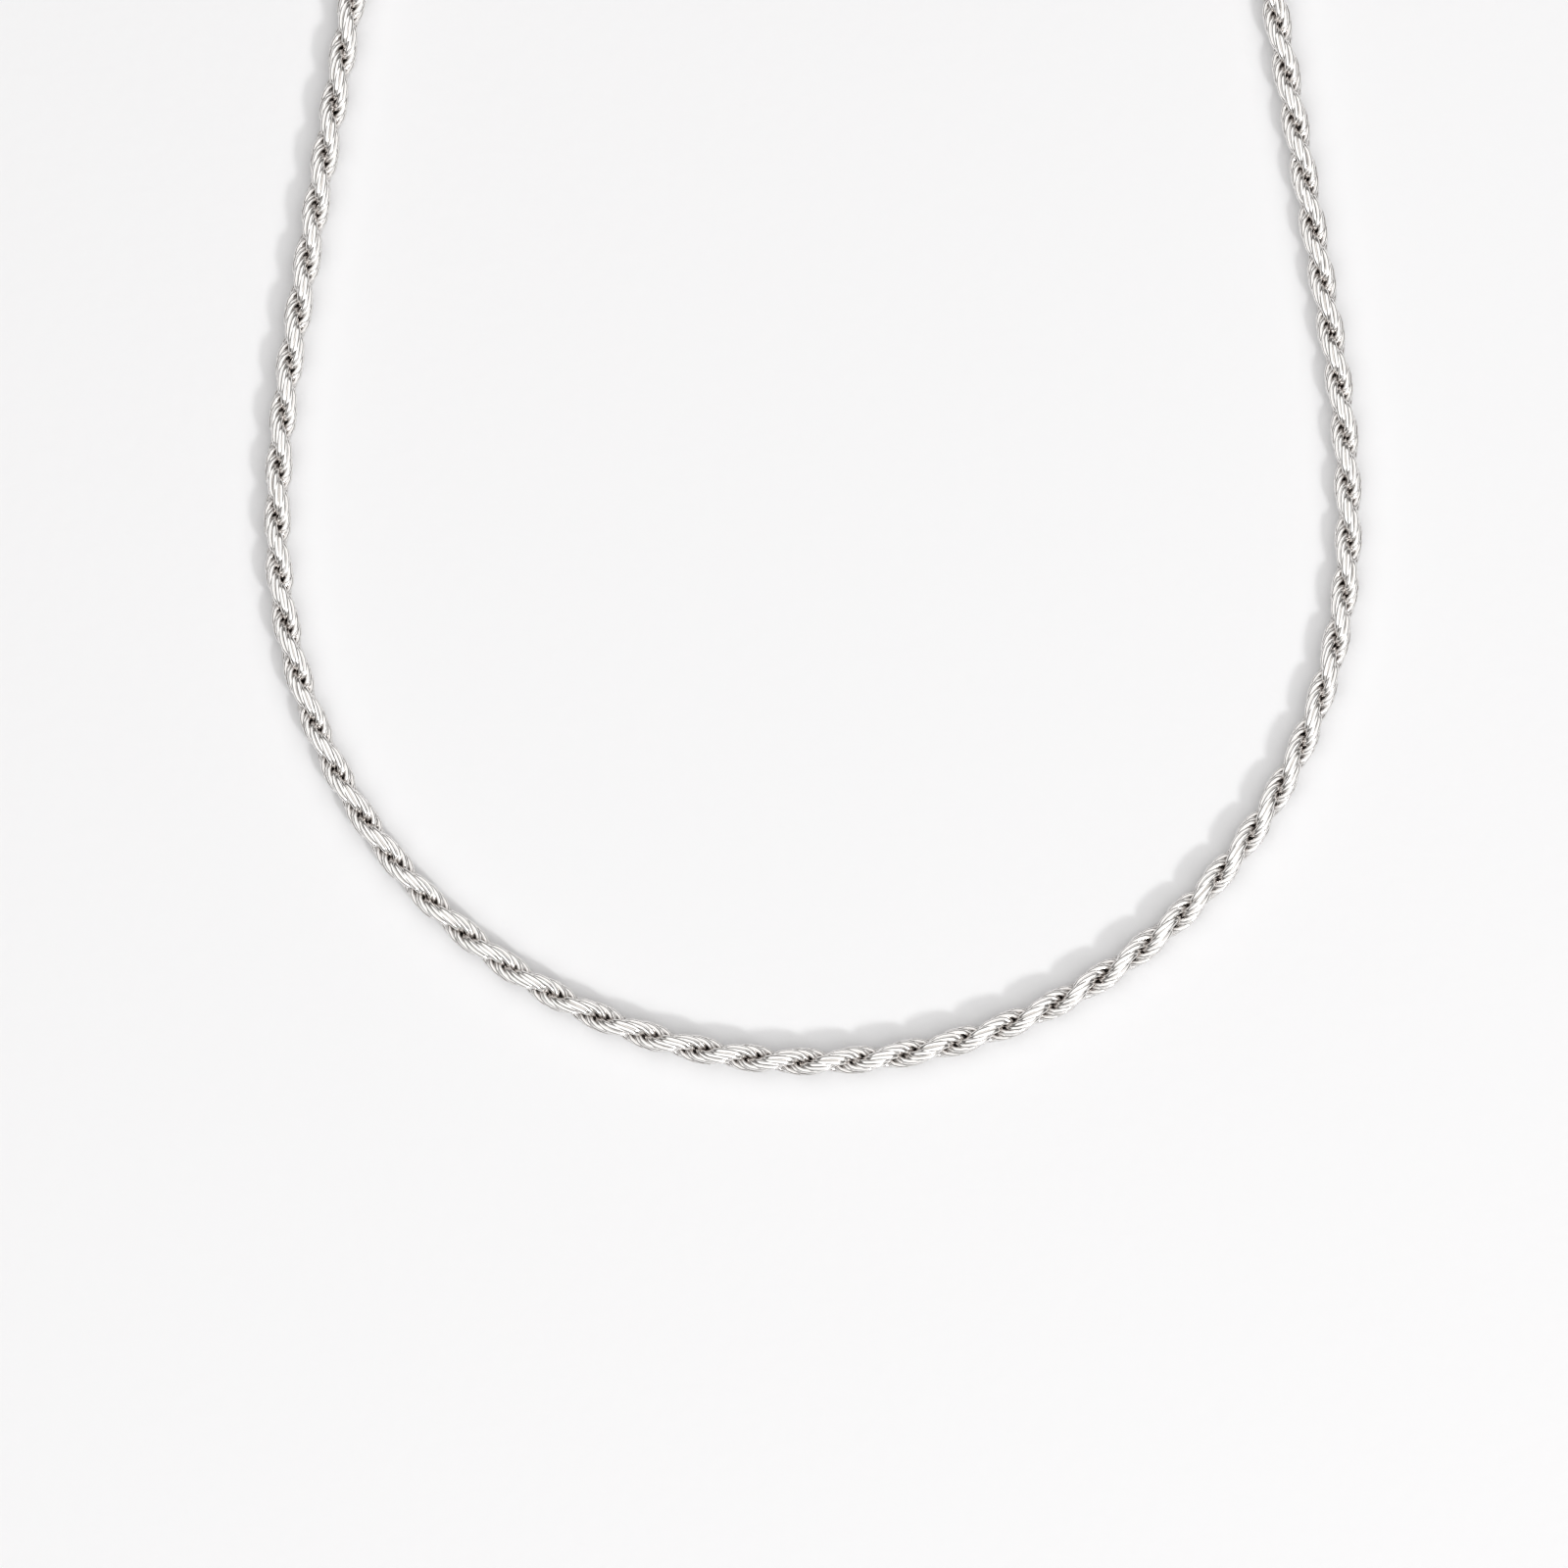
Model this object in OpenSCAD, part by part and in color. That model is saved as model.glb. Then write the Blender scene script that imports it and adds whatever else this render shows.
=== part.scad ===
// Rope chain necklace, laid flat as one closed loop with its clasp at the back.
// All sizes are in millimetres. X runs across the loop, Y from its front to its clasp
// and Z up from the surface that it lies on. The origin is on that surface, under the
// middle of the necklace. The rope itself is hundreds of small links, and stands here as
// a plain tube of its outer diameter. Each end of it sits in a soldered cap with an eye.

/* [Chain] */
// Length of the whole necklace along its middle, with the clasp closed
necklace_l = 450; // [420:5:520]
// Outside diameter of the rope
chain_d = 3; // [2:0.1:4]
// Width of the loop between the middles of its two sides
loop_w = 109.2; // [95:0.4:120]

/* [End caps] */
// Length of the cup that holds the end of the rope
cap_l = 4.5; // [3:0.25:7]
// Thickness of the cup's wall
cap_wall = 0.3; // [0.2:0.05:0.6]
// Thickness of the cup's closed end
cap_floor = 0.8; // [0.6:0.05:1.2]
// Radius that rounds the cup's closed end
cap_round = 0.7; // [0.3:0.05:0.9]
// Thickness of the wire that an eye is bent from
eye_wire = 0.8; // [0.6:0.05:1]
// Hole of an eye
eye_hole = 2.2; // [2:0.1:3]

/* [Clasp] */
// Outside diameter of the clasp's ring
ring_d = 7; // [6:0.25:10]
// Thickness of the ring's wire
ring_wire = 1.1; // [0.8:0.05:1.3]
// Thickness of the thumb stud on the ring
stud_d = 0.8; // [0.6:0.05:1]
// Length of the thumb stud past the ring
stud_l = 0.9; // [0.5:0.05:1.5]

/* [Fits] */
// Room between the rope and the cup that holds it
cup_play = 0.1; // [0.05:0.05:0.3]
// Room between two wires that are linked
link_play = 0.1; // [0.05:0.05:0.2]
// Depth to which soldered wires run into each other
solder = 0.5; // [0.4:0.05:0.55]

/* [Hidden] */
$fn = 48;

// Columns of a stretch: its length, and the angle that it turns through
LENGTH = 0;
TURN = 1;
// The shoulder that starts to lean in after the quarter round of the front
shoulder_l = 18;
shoulder_turn = 9.5;
// The flank above it, which is nearly straight
flank_l = 36;
flank_turn = 0.5;
// The shown stretches of one side, from the middle of the front
SHOWN = [[PI * loop_w / 4, 90], [shoulder_l, shoulder_turn], [flank_l, flank_turn]];
// Angle that the hidden side turns through before the round back
hidden_turn = 12;
// Length over which the rope rises from the surface to the height of its cup
rise_l = 24;
// Straight length of rope in front of a cup's mouth
straight_l = 3;
// Rings of the tube lie this many rope diameters apart
ring_step = 2;
tube_sides = 8;

eye_r = (eye_hole + eye_wire) / 2;
eye_out = eye_hole / 2 + eye_wire;
ring_r = (ring_d - ring_wire) / 2;
cup_bore = chain_d + 2 * cup_play;
cup_d = cup_bore + 2 * cap_wall;
// A cap and its eye rest on the surface, and the clasp lies in the eyes
cap_z = max(cup_d / 2, eye_out);
clasp_z = cap_z - (eye_hole - max(ring_wire, eye_wire)) / 2 + link_play;
// From the ring's centre to the centre of the eye soldered to it
ring_to_eye = ring_d / 2 + eye_out - solder;
// From the middle of the necklace to the eye of each cap, which rings the clasp's wire
cap_eye_x = (ring_r + ring_to_eye + eye_r) / 2;
ring_x = cap_eye_x - ring_r;
// From an eye's centre to the closed end of its cup
eye_to_cup = eye_out - solder;
chain_end_x = cap_eye_x + eye_to_cup + cap_floor + cup_play;

// Half of the rope, and the straight lead that ends it in its cup
half_l = necklace_l / 2 - chain_end_x;
lead_l = cap_l - cap_floor - cup_play + straight_l;
shown_l = SHOWN[0][LENGTH] + SHOWN[1][LENGTH] + SHOWN[2][LENGTH];
shown_end = follow(SHOWN, shown_l);
// The hidden side runs on until a round back closes the loop. What it gains in X for each
// millimetre, and the length of the round back for each millimetre of its width, give the
// one length of side at which all stretches add up to half of the rope.
back_h = shown_end[1] + hidden_turn;
back_turn = 180 - back_h;
side_gain = bend([0, 0], shown_end[1], 1, hidden_turn).x;
back_gain = back_turn * PI / 180 / sin(back_h);
back_x = shown_end[0].x - chain_end_x - lead_l;
side_l = (half_l - shown_l - lead_l - back_gain * back_x) / (1 + back_gain * side_gain);
back_l = back_gain * (back_x + side_gain * side_l);
ROUTE = concat(SHOWN, [[side_l, hidden_turn], [back_l, back_turn], [lead_l, 0]]);
loop_l = follow(ROUTE, half_l)[0].y;
// The middle of the box in Y lies halfway between the rope's front and the clasp's back
front_y = (chain_d - ring_d) / 4 - loop_l / 2;
back_y = front_y + loop_l;

// Place reached from p after a length l that starts at heading h and turns by t degrees
function bend(p, h, l, t) = t == 0
    ? p + l * [cos(h), sin(h)]
    : p + l * 180 / (PI * t) * [sin(h + t) - sin(h), cos(h) - cos(h + t)];

// Place and heading at a distance s along the stretches of a table, or at its end
function follow(table, s, i = 0, p = [0, 0], h = 0) =
    i == len(table) ? [p, h]
    : s < table[i][LENGTH]
    ? [bend(p, h, s, table[i][TURN] * s / table[i][LENGTH]), h + table[i][TURN] * s / table[i][LENGTH]]
    : follow(table, s - table[i][LENGTH], i + 1,
             bend(p, h, table[i][LENGTH], table[i][TURN]), h + table[i][TURN]);

// Eases from 0 to 1 as t goes from 0 to 1
function ease(t) = let (u = min(1, max(0, t))) u * u * (3 - 2 * u);

// Height of the rope's middle at a distance s from the middle of its front
function height(s) = chain_d / 2
    + (cap_z - chain_d / 2) * ease((s - half_l + lead_l + rise_l) / rise_l);

// One ring of the tube at a distance s, which is negative on the left
function tube_ring(s) =
    let (at = follow(ROUTE, abs(s)), h = at[1], side = sign(s) < 0 ? -1 : 1)
    [for (i = [0:tube_sides - 1])
        let (a = i * 360 / tube_sides, out = chain_d / 2 * cos(a), up = chain_d / 2 * sin(a))
        [side * (at[0].x + out * sin(h)), front_y + at[0].y - out * cos(h), height(abs(s)) + up]];

// A closed tube swept along the whole route, with a ring at even distances
module rope_chain() {
    steps = ceil(half_l / (ring_step * chain_d));
    points = [for (k = [-steps:steps]) each tube_ring(k * half_l / steps)];
    last = 2 * steps * tube_sides;
    walls = [for (k = [0:2 * steps - 1], i = [0:tube_sides - 1])
        let (j = (i + 1) % tube_sides, a = k * tube_sides, b = a + tube_sides)
        [a + i, b + i, b + j, a + j]];
    ends = [[for (i = [0:tube_sides - 1]) i], [for (i = [tube_sides - 1:-1:0]) last + i]];
    color("silver")
    polyhedron(points = points, faces = concat(walls, ends), convexity = 10);
}

// Ring of round wire in the XY plane
module wire_ring(r, wire) {
    rotate_extrude() translate([r, 0]) circle(d = wire);
}

// Cup with a rounded closed end at its origin and an open mouth along +Z
module cup() {
    difference() {
        rotate_extrude() {
            square([cup_d / 2 - cap_round, cap_l]);
            translate([0, cap_round]) square([cup_d / 2, cap_l - cap_round]);
            translate([cup_d / 2 - cap_round, cap_round]) circle(r = cap_round);
        }
        translate([0, 0, cap_floor]) cylinder(d = cup_bore, h = cap_l);
    }
}

// Cap for the right end of the rope: an upright eye and the cup soldered to it
module end_cap() {
    translate([cap_eye_x, back_y, cap_z]) {
        rotate([90, 0, 0]) wire_ring(eye_r, eye_wire);
        translate([eye_to_cup, 0, 0]) rotate([0, 90, 0]) cup();
    }
}

module end_cap_right() {
    color("gainsboro") end_cap();
}

module end_cap_left() {
    color("gainsboro") mirror([1, 0, 0]) end_cap();
}

// Clasp closed as one plain piece: a ring, a thumb stud and the eye that the left cap holds
module clasp() {
    color("whitesmoke")
    translate([ring_x, back_y, clasp_z]) {
        wire_ring(ring_r, ring_wire);
        translate([-ring_to_eye, 0, 0]) wire_ring(eye_r, eye_wire);
        translate([0, -ring_r, 0]) rotate([90, 0, 0]) cylinder(d = stud_d, h = ring_wire / 2 + stud_l);
    }
}

rope_chain();
end_cap_left();
end_cap_right();
clasp();
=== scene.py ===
"""A polished silver rope chain necklace, laid flat on pale paper.

The rope is drawn link by link: every link is a closed, rounded oval of round wire. The
links come in pairs, and each pair lies one pitch further along the rope than the last and
is turned about it by one step. The pairs thread through each other, and the lines of
their outer sides wind round the rope as its strands. The caps and the clasp are the
frame's own solids with a new finish.
"""

import logging
import math
from dataclasses import dataclass, field
from enum import Enum

import bpy
import numpy as np
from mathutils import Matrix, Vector

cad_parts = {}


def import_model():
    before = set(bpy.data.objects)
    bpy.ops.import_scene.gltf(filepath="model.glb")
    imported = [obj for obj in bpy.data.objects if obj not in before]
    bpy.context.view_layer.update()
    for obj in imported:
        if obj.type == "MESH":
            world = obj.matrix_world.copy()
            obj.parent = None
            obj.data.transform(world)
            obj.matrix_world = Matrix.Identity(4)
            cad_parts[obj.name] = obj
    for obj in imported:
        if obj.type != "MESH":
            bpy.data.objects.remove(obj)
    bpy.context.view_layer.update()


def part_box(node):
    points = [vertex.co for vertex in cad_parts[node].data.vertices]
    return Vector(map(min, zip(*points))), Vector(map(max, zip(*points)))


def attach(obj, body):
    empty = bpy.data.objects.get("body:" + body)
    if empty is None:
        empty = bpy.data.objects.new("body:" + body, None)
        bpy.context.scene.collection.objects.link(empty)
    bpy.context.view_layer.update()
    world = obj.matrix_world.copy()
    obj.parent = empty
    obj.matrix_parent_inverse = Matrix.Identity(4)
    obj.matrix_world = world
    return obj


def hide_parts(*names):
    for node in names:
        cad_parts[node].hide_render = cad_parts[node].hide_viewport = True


log = logging.getLogger("rope_chain")
MM = 0.001
# A turn smaller than this, in radians, counts as none
NO_TURN = 1e-9


@dataclass(frozen=True)
class SourceSizes:
    """Sizes in metres that the frame's boxes do not tell, as the source gives them."""

    chain_d: float = 3.0 * MM
    loop_w: float = 109.2 * MM
    cap_l: float = 4.5 * MM
    cap_floor: float = 0.8 * MM
    cup_play: float = 0.1 * MM
    straight_l: float = 3.0 * MM

    @property
    def cup_depth(self) -> float:
        """Length of rope that sits inside a cup."""
        return self.cap_l - self.cap_floor - self.cup_play

    @property
    def lead(self) -> float:
        """Length of straight rope that ends in a cup."""
        return self.cup_depth + self.straight_l


class Side(Enum):
    """The half of the loop that a stretch of rope lies on."""

    LEFT = "left"
    RIGHT = "right"


class LampShape(Enum):
    """The outline of a lamp's face, by Blender's name for it."""

    DISK = "DISK"
    SQUARE = "SQUARE"

    def area(self, size: float) -> float:
        """Area of a face with this outline.

        Args:
            size: Its width in metres.

        Returns:
            The area in square metres.
        """
        return size ** 2 * (math.pi / 4 if self is LampShape.DISK else 1.0)


def ease(t: np.ndarray) -> np.ndarray:
    """Ease from 0 to 1 as 3t^2 - 2t^3.

    Args:
        t: Any values, held between 0 and 1.

    Returns:
        The eased values, level at both ends.
    """
    t = np.clip(t, 0, 1)
    return t * t * (3 - 2 * t)


def linear(colour: str) -> tuple[float, float, float, float]:
    """Turn an sRGB hex colour into the linear colour that a shader takes.

    Args:
        colour: Six hex digits, such as "f4f2ee".

    Returns:
        Linear red, green and blue with an alpha of one.
    """
    parts = [int(colour[i:i + 2], 16) / 255 for i in (0, 2, 4)]
    red, green, blue = [c / 12.92 if c <= 0.04045 else ((c + 0.055) / 1.055) ** 2.4 for c in parts]
    return red, green, blue, 1.0


def add_node(
    tree: bpy.types.NodeTree,
    kind: str,
    settings: dict[str, object] | None = None,
    inputs: dict[str | int, object] | None = None,
) -> bpy.types.Node:
    """Add one shader node with its settings, values and links.

    Args:
        tree: Node tree that takes the node.
        kind: Blender's name of the node type.
        settings: Attributes of the node to set.
        inputs: Socket name or index to a value, or to an output socket that feeds it.

    Returns:
        The new node.
    """
    node = tree.nodes.new(kind)
    for name, value in (settings or {}).items():
        setattr(node, name, value)
    for name, value in (inputs or {}).items():
        if isinstance(value, bpy.types.NodeSocket):
            tree.links.new(value, node.inputs[name])
        else:
            node.inputs[name].default_value = value
    return node


def blank_material(name: str) -> tuple[bpy.types.Material, bpy.types.NodeTree, bpy.types.Node]:
    """Make a material that holds only its output.

    Args:
        name: Name of the material.

    Returns:
        The material, its node tree and its output node.
    """
    material = bpy.data.materials.new(name)
    material.use_nodes = True
    tree = material.node_tree
    tree.nodes.clear()
    return material, tree, add_node(tree, "ShaderNodeOutputMaterial")


def add_noise(tree: bpy.types.NodeTree, size_mm: float, detail: float) -> bpy.types.NodeSocket:
    """Add noise that is fixed to the object and has a grain of a real size.

    Args:
        tree: Node tree that takes the noise.
        size_mm: Size of its grain in millimetres.
        detail: How many finer layers lie over the first.

    Returns:
        The socket of its value, from 0 to 1.
    """
    place = add_node(tree, "ShaderNodeTexCoord")
    noise = add_node(
        tree, "ShaderNodeTexNoise", {"noise_dimensions": "3D"},
        {"Vector": place.outputs["Object"], "Scale": 1 / (size_mm * MM), "Detail": detail},
    )
    return noise.outputs["Fac"]


@dataclass(frozen=True)
class PolishedSilver:
    """Sterling silver, drawn to wire, soldered, tumbled and dipped bright."""

    # Tumbling leaves the open sides mirror bright, so the eye sees the lamp, the ceiling
    # and the dark room in each wire as light and dark stripes, softened by fine scuffs.
    # No polish reaches the hollows between the wires, which stay duller and tarnished. Their
    # colour is also darkened there as painted shade, where the wires shade each other.
    name: str
    bright: str = "faf8f6"
    # Colour of the hollows: tarnished silver, darkened further as painted shade
    tarnish_and_shade: str = "8a807a"
    rough_bright: float = 0.16
    rough_tarnish: float = 0.25
    scuff_mm: float = 0.35
    scuff_detail: float = 3.0
    scuff_depth: float = 0.04
    tarnish_and_shade_mask: str = "tarnish_and_shade_mask"

    def make(self) -> bpy.types.Material:
        """Build the material.

        Returns:
            Silver whose colour darkens by a mask attribute of the mesh, as tarnishing and painted
            shade in the hollows.
        """
        material, tree, output = blank_material(self.name)
        scuff = add_noise(tree, self.scuff_mm, self.scuff_detail)
        tarnish_and_shade_mask = add_node(tree, "ShaderNodeAttribute", {"attribute_name": self.tarnish_and_shade_mask})
        # Painted shade: the mask darkens the colour in the hollows, where the wires shade each
        # other, along with their tarnishing
        colour = add_node(
            tree, "ShaderNodeMix", {"data_type": "RGBA"},
            {"Factor": tarnish_and_shade_mask.outputs["Fac"], "A": linear(self.bright), "B": linear(self.tarnish_and_shade)},
        )
        dull = add_node(
            tree, "ShaderNodeMapRange", {},
            {
                "Value": tarnish_and_shade_mask.outputs["Fac"],
                "To Min": self.rough_bright,
                "To Max": self.rough_tarnish,
            },
        )
        varied = add_node(
            tree, "ShaderNodeMapRange", {},
            {"Value": scuff, "To Min": -self.scuff_depth, "To Max": self.scuff_depth},
        )
        rough = add_node(
            tree, "ShaderNodeMath", {"operation": "ADD", "use_clamp": True},
            {0: dull.outputs["Result"], 1: varied.outputs["Result"]},
        )
        metal = add_node(
            tree, "ShaderNodeBsdfPrincipled", {},
            {
                "Base Color": colour.outputs["Result"],
                "Metallic": 1.0,
                "Roughness": rough.outputs["Value"],
            },
        )
        tree.links.new(metal.outputs["BSDF"], output.inputs["Surface"])
        return material


@dataclass(frozen=True)
class PalePaper:
    """Heavy cotton paper, cold pressed between felts."""

    # The felts leave a faint grain that shows only where the light is low, and the eye
    # sees an even, matt, very slightly cool white.
    name: str = "cold_pressed_paper"
    white: str = "f3f3f4"
    roughness: float = 0.9
    ior: float = 1.5
    grain_mm: float = 1.6
    grain_detail: float = 4.0
    relief_mm: float = 0.05

    def make(self) -> bpy.types.Material:
        """Build the material.

        Returns:
            Matt white paper with a bump of its felt's grain.
        """
        material, tree, output = blank_material(self.name)
        grain = add_noise(tree, self.grain_mm, self.grain_detail)
        bump = add_node(
            tree, "ShaderNodeBump", {},
            {"Height": grain, "Distance": self.relief_mm * MM, "Strength": 1.0},
        )
        matt = add_node(
            tree, "ShaderNodeBsdfPrincipled", {},
            {
                "Base Color": linear(self.white),
                "Roughness": self.roughness,
                "IOR": self.ior,
                "Normal": bump.outputs["Normal"],
            },
        )
        tree.links.new(matt.outputs["BSDF"], output.inputs["Surface"])
        return material


@dataclass
class Loop:
    """The line that the rope lies along, as stretches that each turn evenly.

    The sizes are the source's own, in metres and degrees. A stretch is a length and the
    angle that it turns through. The right half starts at the middle of the front, and
    the left half is its mirror image.
    """

    front_y: float
    back_y: float
    width: float
    chain_end_x: float
    chain_d: float
    cap_z: float
    lead: float
    rise: float = 24 * MM
    shoulder: tuple[float, float] = (18 * MM, 9.5)
    flank: tuple[float, float] = (36 * MM, 0.5)
    hidden_turn: float = 12.0
    slope_step: float = 0.05 * MM
    stretches: list[tuple[float, float]] = field(init=False)

    def __post_init__(self) -> None:
        """Solve the two hidden stretches so that the half loop ends at its cap.

        The side's length and the round back's radius are the two unknowns of two
        linear equations, one for the width that is left over and one for the height.
        """
        shown = [(math.pi * self.width / 4, 90.0), self.shoulder, self.flank]
        corner, heading = self._bend_all(shown)
        side = self._chord(heading, self.hidden_turn)
        back_heading = heading + self.hidden_turn
        back_turn = 180.0 - back_heading
        back = self._chord(back_heading, back_turn) * math.radians(back_turn)
        across = self.chain_end_x + self.lead - corner[0]
        along = self.back_y - self.front_y - corner[1]
        side_length, back_radius = np.linalg.solve(np.array([side, back]).T, [across, along])
        self.stretches = shown + [
            (float(side_length), self.hidden_turn),
            (float(back_radius) * math.radians(back_turn), back_turn),
            (self.lead, 0.0),
        ]

    @staticmethod
    def _chord(heading: float, turn: np.ndarray | float) -> np.ndarray:
        """Step in X and Y for each metre of a stretch that turns evenly.

        The heading grows evenly, so the step is the integral of its cosine and its sine:
        the differences of their sines and cosines at both ends, over the turn. A
        straight stretch steps by the cosine and the sine themselves.

        Args:
            heading: Heading at its start, in degrees.
            turn: One or more angles that it turns through, in degrees.

        Returns:
            The chord's X and Y for a length of one, a row for each angle.
        """
        h, t = math.radians(heading), np.radians(turn)
        curved = np.abs(t) > NO_TURN
        safe = np.where(curved, t, 1.0)
        along_x = np.where(curved, (np.sin(h + t) - math.sin(h)) / safe, math.cos(h))
        along_y = np.where(curved, (math.cos(h) - np.cos(h + t)) / safe, math.sin(h))
        return np.stack([along_x, along_y], axis=-1)

    def _bend_all(self, stretches: list[tuple[float, float]]) -> tuple[np.ndarray, float]:
        """End of a row of stretches that starts at zero, heading along X.

        Args:
            stretches: Lengths and turns.

        Returns:
            The end's X and Y and its heading in degrees.
        """
        end, heading = np.zeros(2), 0.0
        for length, turn in stretches:
            end = end + length * self._chord(heading, turn)
            heading += turn
        return end, heading

    @property
    def half_length(self) -> float:
        """Length of the rope from the middle of the front to one end."""
        return sum(length for length, _ in self.stretches)

    def height(self, s: np.ndarray) -> np.ndarray:
        """Height of the rope's middle at distances from the middle of the front.

        It lies on the surface and eases up to the height of its cup.

        Args:
            s: Distances, each positive.

        Returns:
            The heights.
        """
        low = self.chain_d / 2
        t = (s - self.half_length + self.lead + self.rise) / self.rise
        return low + (self.cap_z - low) * ease(t)

    def place(self, s: np.ndarray) -> tuple[np.ndarray, np.ndarray]:
        """Points on the rope's middle line and its directions there.

        A point lies on its stretch by the chord of the part before it. Its direction
        is its heading, raised by the slope of the height.

        Args:
            s: Distances from the middle of the front, negative on the left.

        Returns:
            The points, one a row, and unit directions from left to right.
        """
        reach = np.abs(s)
        hand = np.where(s < 0, -1.0, 1.0)
        point = np.zeros((len(s), 2))
        heading = np.zeros(len(s))
        at, start, done = np.zeros(2), 0.0, 0.0
        for index, (length, turn) in enumerate(self.stretches):
            last = index == len(self.stretches) - 1
            here = (reach >= done) & ((reach < done + length) | last)
            part = (reach[here] - done) / length
            point[here] = at + (length * part)[:, None] * self._chord(start, turn * part)
            heading[here] = np.radians(start + turn * part)
            at = at + length * self._chord(start, turn)
            start, done = start + turn, done + length
        points = np.stack(
            [hand * point[:, 0], self.front_y + point[:, 1], self.height(reach)], axis=-1)
        step = self.slope_step
        slope = (self.height(reach + step) - self.height(reach - step)) / (2 * step)
        ahead = np.stack([np.cos(heading), hand * np.sin(heading), hand * slope], axis=-1)
        return points, ahead / np.linalg.norm(ahead, axis=1, keepdims=True)


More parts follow.
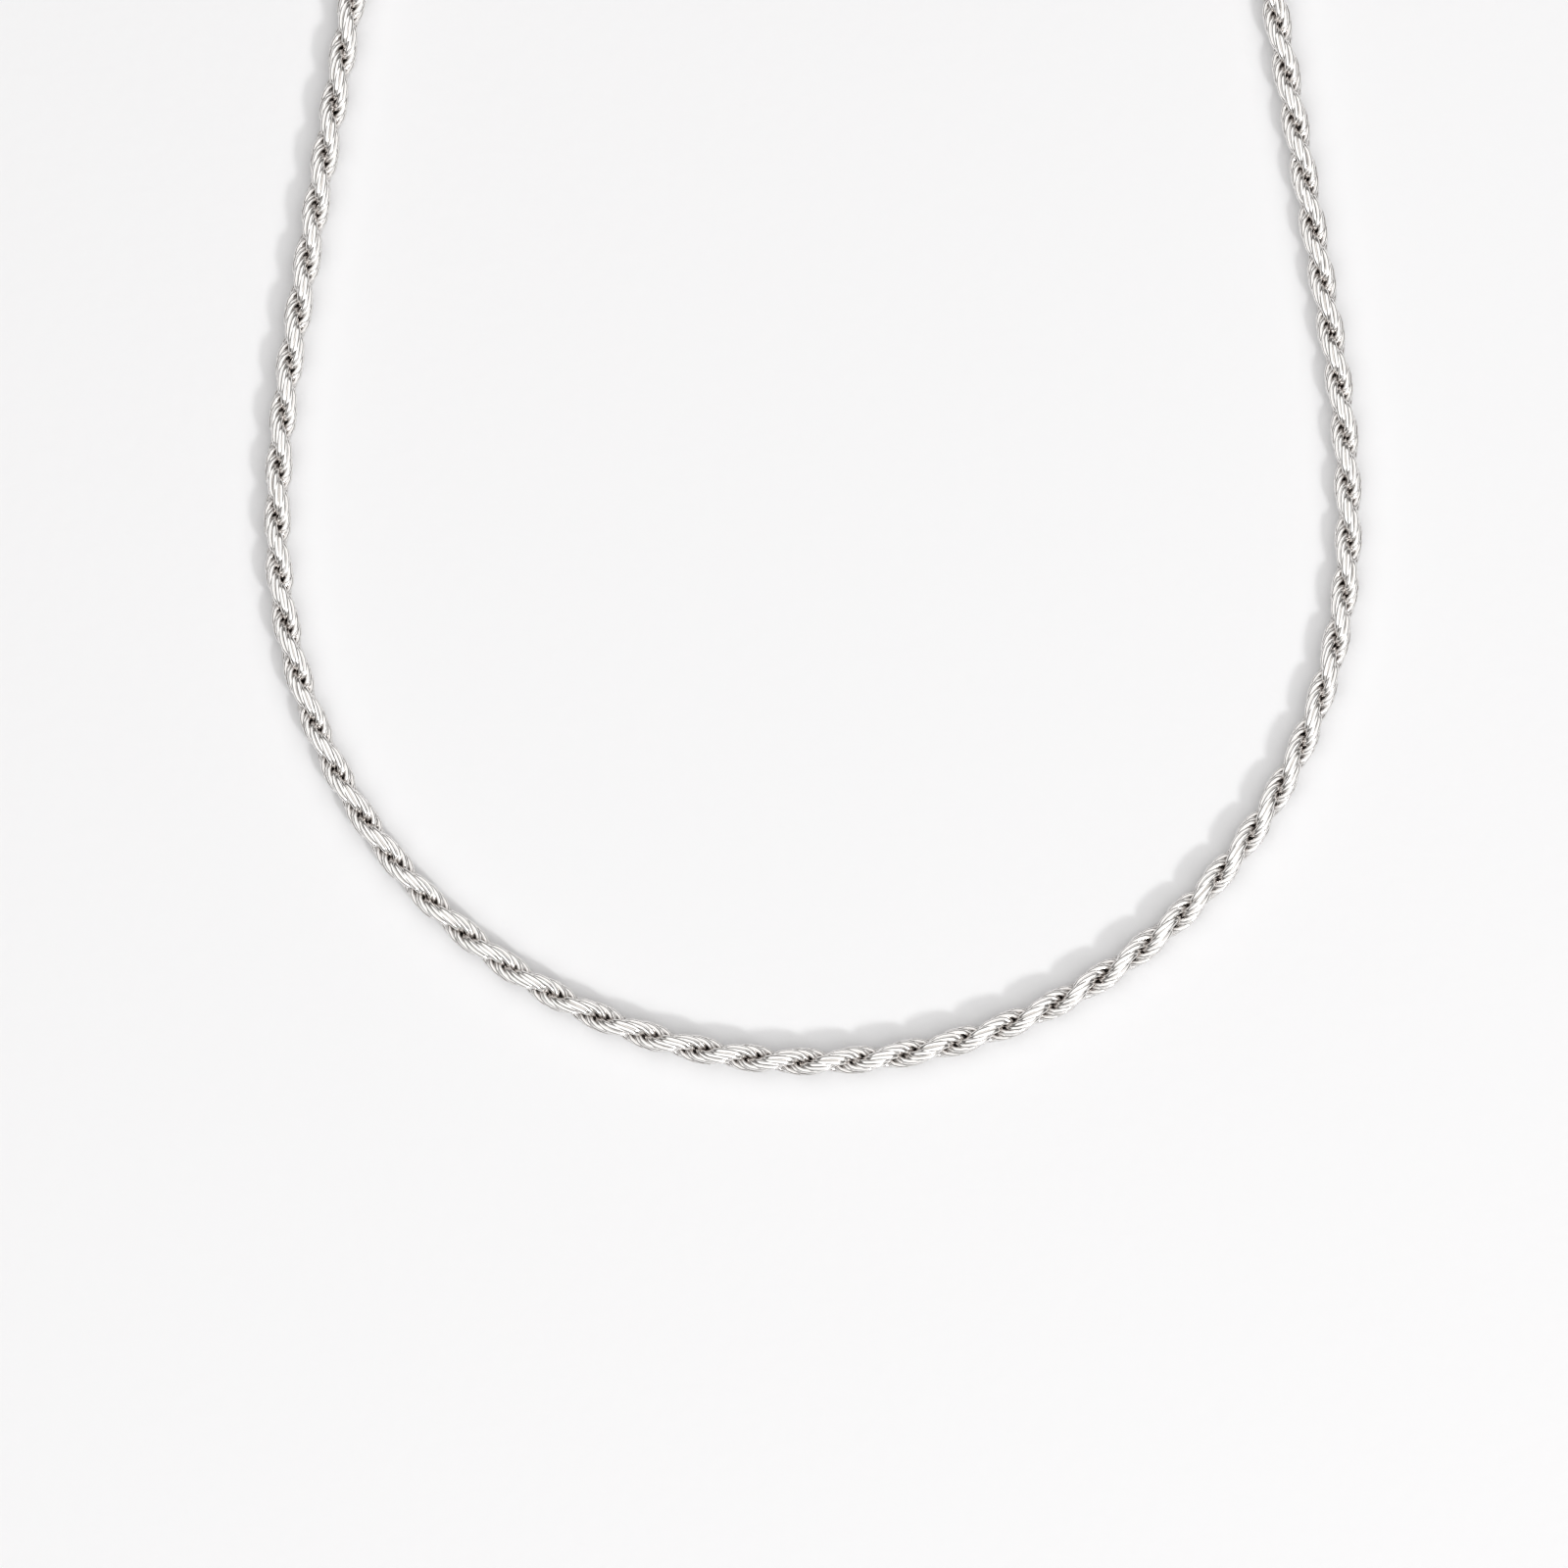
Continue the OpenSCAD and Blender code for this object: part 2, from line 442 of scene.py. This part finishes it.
@dataclass
class LinkRope:
    """The rope of interlinked oval links, in one joined mesh for each half of the loop.

    The links come in pairs. Each pair lies one pitch further along the rope than the
    last and is turned about it by one step, and the second link of a pair lies a shorter
    way on and turns by its own angle. Lengths are in metres and angles in degrees.

    A link is threaded through its partner and through the three pairs on either side.
    The wires are thicker than there is room for, so that the outside looks as full as
    the real rope's. They run into each other in the middle of the rope, and where a
    pair lies against the next.
    """

    loop: Loop
    node: str = "rope_chain"
    slot: str = "polished_silver_rope"
    # The oval that a link's wire is bent along. A fullness of two is an ellipse.
    half_long: float = 1.8 * MM
    half_short: float = 1.17 * MM
    fullness: float = 2.1
    wire: float = 0.60 * MM
    # How the pairs follow each other along the rope, and where the first one lies
    pitch: float = 1.068 * MM
    step: float = -36.0
    start: float = -0.46 * MM
    phase: float = -103.6
    # Where the second link of a pair lies against the first
    partner_on: float = 0.29 * MM
    partner_turn: float = -23.0
    # Angle between a link's normal and the rope
    tilt: float = 90.0
    # Tarnishing and painted shade on a wire's flanks, and the cosine about the wire that ends its
    # open side
    flank_tarnish_and_shade: float = 0.15
    open_side: float = 0.5
    # How far the links stray at random
    stray_tilt: float = 1.5
    stray_shift: float = 0.012 * MM
    seed: int = 7
    # Facets along a link and round its wire
    ring_sides: int = 16
    wire_sides: int = 6

    @property
    def about(self) -> np.ndarray:
        """Angles about the wire of its corners, in radians from its outer side."""
        return (2 * np.arange(self.wire_sides) + 1) * math.pi / self.wire_sides

    def link(self) -> tuple[np.ndarray, np.ndarray]:
        """One link's surface, a round wire along an oval in its own plane.

        The wire's centre line lies between an ellipse and a rectangle. It is half_long
        times the cosine and half_short times the sine of the first angle, each taken to
        the power of two over fullness with its sign kept. Its outward normal is the
        cosine and the sine to the power of two less that, over the same half sizes. A
        point lies off the line by half of the wire's thickness, along that normal times
        the cosine and upwards times the sine of the second angle.

        Returns:
            Vertices, and faces of four with their outer sides outwards.
        """
        around = np.linspace(0, 2 * math.pi, self.ring_sides, endpoint=False)[:, None]
        about = self.about[None, :]
        half = np.array([self.half_long, self.half_short])
        wave = np.stack([np.cos(around), np.sin(around)], axis=-1)
        centre = half * np.sign(wave) * np.abs(wave) ** (2 / self.fullness)
        outward = np.sign(wave) * np.abs(wave) ** (2 - 2 / self.fullness) / half
        outward /= np.linalg.norm(outward, axis=-1, keepdims=True)
        flat = centre + self.wire / 2 * np.cos(about)[..., None] * outward
        height = np.broadcast_to(self.wire / 2 * np.sin(about), flat.shape[:2])
        points = np.concatenate([flat, height[..., None]], axis=-1)
        i, j = np.meshgrid(np.arange(self.ring_sides), np.arange(self.wire_sides), indexing="ij")
        next_i, next_j = (i + 1) % self.ring_sides, (j + 1) % self.wire_sides
        corners = [(i, j), (next_i, j), (next_i, next_j), (i, next_j)]
        faces = np.stack([a * self.wire_sides + b for a, b in corners], axis=-1)
        return points.reshape(-1, 3), faces.reshape(-1, 4)

    def places(self, side: Side) -> tuple[np.ndarray, np.ndarray]:
        """Where the links of one half of the loop lie and how far they are turned.

        Args:
            side: The half.

        Returns:
            Distances from the middle of the front, negative on the left, and angles in
            degrees about the rope.
        """
        most = int(self.loop.half_length / self.pitch) + 1
        pair = np.arange(-most, most + 1)
        first = self.start + self.pitch * pair
        turn = self.phase + self.step * pair
        s = np.concatenate([first, first + self.partner_on])
        angle = np.concatenate([turn, turn + self.partner_turn])
        order = np.argsort(s)
        s, angle = s[order], angle[order]
        fits = np.abs(s) + self.half_long + self.wire / 2 <= self.loop.half_length
        here = fits & ((s < 0) if side is Side.LEFT else (s >= 0))
        return s[here], angle[here]

    def links(self, side: Side) -> tuple[np.ndarray, np.ndarray, np.ndarray]:
        """All links of one half, placed along the loop.

        Each link's plane holds its long axis, which lies along the rope but for a small
        tilt, and is turned about the rope by its own angle. Its axes are then laid
        along the rope's side, up and ahead directions at its place.

        Args:
            side: The half.

        Returns:
            Vertices, faces and each vertex's distance from the rope's middle line.
        """
        link, faces = self.link()
        s, angle = self.places(side)
        chance = np.random.default_rng(self.seed + (side is Side.RIGHT))
        stray = chance.normal(size=(len(s), 3))
        centre, ahead = self.loop.place(s + self.stray_shift * stray[:, 0])
        aside = np.stack([-ahead[:, 1], ahead[:, 0], np.zeros(len(s))], axis=-1)
        aside /= np.linalg.norm(aside, axis=1, keepdims=True)
        up = np.cross(ahead, aside)
        tilt = np.radians(self.tilt + self.stray_tilt * stray[:, 1])
        lay = np.radians(angle + self.stray_tilt * stray[:, 2])
        normal = np.stack(
            [np.sin(tilt) * np.cos(lay), np.sin(tilt) * np.sin(lay), np.cos(tilt)], axis=-1)
        across = np.cross(normal, np.array([0.0, 0.0, 1.0]))
        across /= np.linalg.norm(across, axis=1, keepdims=True)
        along = np.cross(across, normal)
        axes = np.stack([along, -across, normal], axis=1)
        local = np.einsum("vk,nkc->nvc", link, axes)
        depth = np.hypot(local[..., 0], local[..., 1])
        rope_axes = np.stack([aside, up, ahead], axis=1)
        points = centre[:, None] + np.einsum("nvk,nkc->nvc", local, rope_axes)
        shift = (np.arange(len(s)) * len(link))[:, None, None]
        return points.reshape(-1, 3), (faces[None] + shift).reshape(-1, 4), depth.reshape(-1)

    def tarnish_and_shade_mask(self, depth: np.ndarray) -> np.ndarray:
        """How much tarnishing and painted shade each vertex takes, by how deep it lies in a hollow
        between the wires.

        It is none on the wire's outer side, and the flank share on its flanks and its inner
        side, where the next wires lie against it and shade it. From one wire's thickness under
        the rope's outside it eases to one, over one thickness more.

        Args:
            depth: Distances from the rope's middle line.

        Returns:
            Values from 0 on the open side to 1 in the hollows.
        """
        # Painted shade: the flanks and the hollows take a darker colour along with their tarnishing
        strips = np.where(np.cos(self.about) > self.open_side, 0.0, self.flank_tarnish_and_shade)
        flank = np.tile(strips, len(depth) // self.wire_sides)
        outside = self.loop.chain_d / 2
        return np.maximum(flank, ease((outside - self.wire - depth) / self.wire))

    def build(self, side: Side, finish: bpy.types.Material) -> bpy.types.Object:
        """Make one half of the rope and put it in the node's place.

        Args:
            side: The half.
            finish: Its material.

        Returns:
            The joined mesh's object.
        """
        points, faces, depth = self.links(side)
        mesh = bpy.data.meshes.new(f"rope_links_{side.value}")
        mesh.from_pydata(points, [], faces)
        mesh.polygons.foreach_set("use_smooth", np.ones(len(faces), dtype=bool))
        # The mask that darkens the colour as tarnishing and painted shade
        attribute = mesh.attributes.new("tarnish_and_shade_mask", "FLOAT", "POINT")
        attribute.data.foreach_set("value", self.tarnish_and_shade_mask(depth).astype(np.float32))
        mesh.materials.append(finish)
        mesh.update()
        piece = bpy.data.objects.new(f"rope_links_{side.value}", mesh)
        bpy.context.scene.collection.objects.link(piece)
        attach(piece, "root")
        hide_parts(self.node)
        return piece


@dataclass
class Fittings:
    """The caps and the clasp, which keep the frame's own solids."""

    nodes: tuple[str, ...] = ("end_cap_left", "end_cap_right", "clasp")

    def dress(self, finish: bpy.types.Material) -> None:
        """Give each solid its finish.

        Args:
            finish: The material of turned and drawn silver.
        """
        for name in self.nodes:
            solid = bpy.data.objects[name]
            solid.data.materials.clear()
            solid.data.materials.append(finish)
            log.info("dressed %s", name)


@dataclass(frozen=True)
class SoftBox:
    """A flat lamp that faces the middle of the necklace and is white all over.

    Its azimuth is in degrees from the front towards the right, and its elevation in
    degrees above the paper. Its brightness is that of its face, where white paper in
    full light has one.
    """

    name: str
    azimuth: float
    elevation: float
    distance: float
    size: float
    brightness: float
    shape: LampShape = LampShape.SQUARE

    def hang(self) -> bpy.types.Object:
        """Hang the lamp, with a power of pi times its brightness times its area.

        Returns:
            The lamp's object, which lights and mirrors but is not seen itself.
        """
        azimuth, elevation = math.radians(self.azimuth), math.radians(self.elevation)
        away = Vector((
            math.sin(azimuth) * math.cos(elevation),
            -math.cos(azimuth) * math.cos(elevation),
            math.sin(elevation),
        ))
        data = bpy.data.lights.new(self.name, "AREA")
        data.shape, data.size = self.shape.value, self.size
        data.energy = self.brightness * math.pi * self.shape.area(self.size)
        lamp = bpy.data.objects.new(self.name, data)
        lamp.location = away * self.distance
        lamp.rotation_mode = "QUATERNION"
        lamp.rotation_quaternion = away.to_track_quat("Z", "Y")
        lamp.visible_camera = False
        bpy.context.scene.collection.objects.link(lamp)
        return lamp


@dataclass
class Studio:
    """A sheet of paper in a dark room, by a window and under a wide white ceiling."""

    front_y: float
    # The shown square: its width, how far it reaches in front of the rope, and its middle
    shown: float = 160 * MM
    front_to_frame: float = 51.7 * MM
    frame_x: float = -2.95 * MM
    camera_height: float = 1.6
    sensor_mm: float = 36.0
    clip: tuple[float, float] = (0.1, 10.0)
    paper_half: float = 1.5
    # The window casts the shadow, the curtain beside it softens that, and the ceiling
    # lights the rest of the paper.
    window: SoftBox = SoftBox(
        name="window", azimuth=37, elevation=38.5, distance=1.8, size=0.26, brightness=60.0,
        shape=LampShape.DISK,
    )
    curtain: SoftBox = SoftBox(
        name="curtain", azimuth=37, elevation=25, distance=1.2, size=1.2, brightness=0.4,
    )
    ceiling: SoftBox = SoftBox(
        name="ceiling", azimuth=0, elevation=90, distance=1.2, size=3.0, brightness=0.985,
    )
    room_colour: str = "fffaf5"
    room_light: float = 0.15

    def camera(self) -> None:
        """Put a long lens straight above the middle of the shown square."""
        data = bpy.data.cameras.new("camera")
        data.sensor_width = self.sensor_mm
        data.lens = self.sensor_mm * self.camera_height / self.shown
        data.clip_start, data.clip_end = self.clip
        camera = bpy.data.objects.new("camera", data)
        centre_y = self.front_y - self.front_to_frame + self.shown / 2
        camera.location = (self.frame_x, centre_y, self.camera_height)
        bpy.context.scene.collection.objects.link(camera)
        bpy.context.scene.camera = camera

    def paper(self) -> None:
        """Lay a wide square of paper under the necklace."""
        half = self.paper_half
        corners = np.array([(-half, -half, 0), (half, -half, 0), (half, half, 0), (-half, half, 0)])
        mesh = bpy.data.meshes.new("paper")
        mesh.from_pydata(corners, [], np.array([(0, 1, 2, 3)]))
        mesh.materials.append(PalePaper().make())
        sheet = bpy.data.objects.new("paper", mesh)
        bpy.context.scene.collection.objects.link(sheet)

    def lights(self) -> None:
        """Light the paper from the window, its curtain and the ceiling, in a dark room."""
        for lamp in (self.window, self.curtain, self.ceiling):
            lamp.hang()
        world = bpy.data.worlds.new("dark_room")
        world.use_nodes = True
        background = world.node_tree.nodes["Background"]
        background.inputs["Color"].default_value = linear(self.room_colour)
        background.inputs["Strength"].default_value = self.room_light
        bpy.context.scene.world = world

    def build(self) -> None:
        """Set up the whole studio."""
        self.camera()
        self.paper()
        self.lights()
        bpy.context.scene.view_settings.view_transform = "Standard"


def main() -> None:
    """Load the frame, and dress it."""
    logging.basicConfig(level=logging.INFO, format="%(message)s")
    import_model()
    rope_low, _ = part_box("rope_chain")
    cap_low, cap_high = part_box("end_cap_right")
    sizes = SourceSizes()
    front_y = rope_low[1] + sizes.chain_d / 2
    loop = Loop(
        front_y=front_y,
        back_y=(cap_low[1] + cap_high[1]) / 2,
        width=sizes.loop_w,
        chain_end_x=cap_high[0] - sizes.cup_depth,
        chain_d=sizes.chain_d,
        cap_z=cap_high[2] / 2,
        lead=sizes.lead,
    )
    log.info("rope %.1f mm long", 2 * loop.half_length / MM)
    rope = LinkRope(loop)
    silver = PolishedSilver("polished_silver_wire").make()
    for side in Side:
        piece = rope.build(side, silver)
        log.info("built %s with %d faces", piece.name, len(piece.data.polygons))
    Fittings().dress(PolishedSilver("polished_silver_solid").make())
    Studio(front_y=front_y).build()


if __name__ == "__main__":
    main()
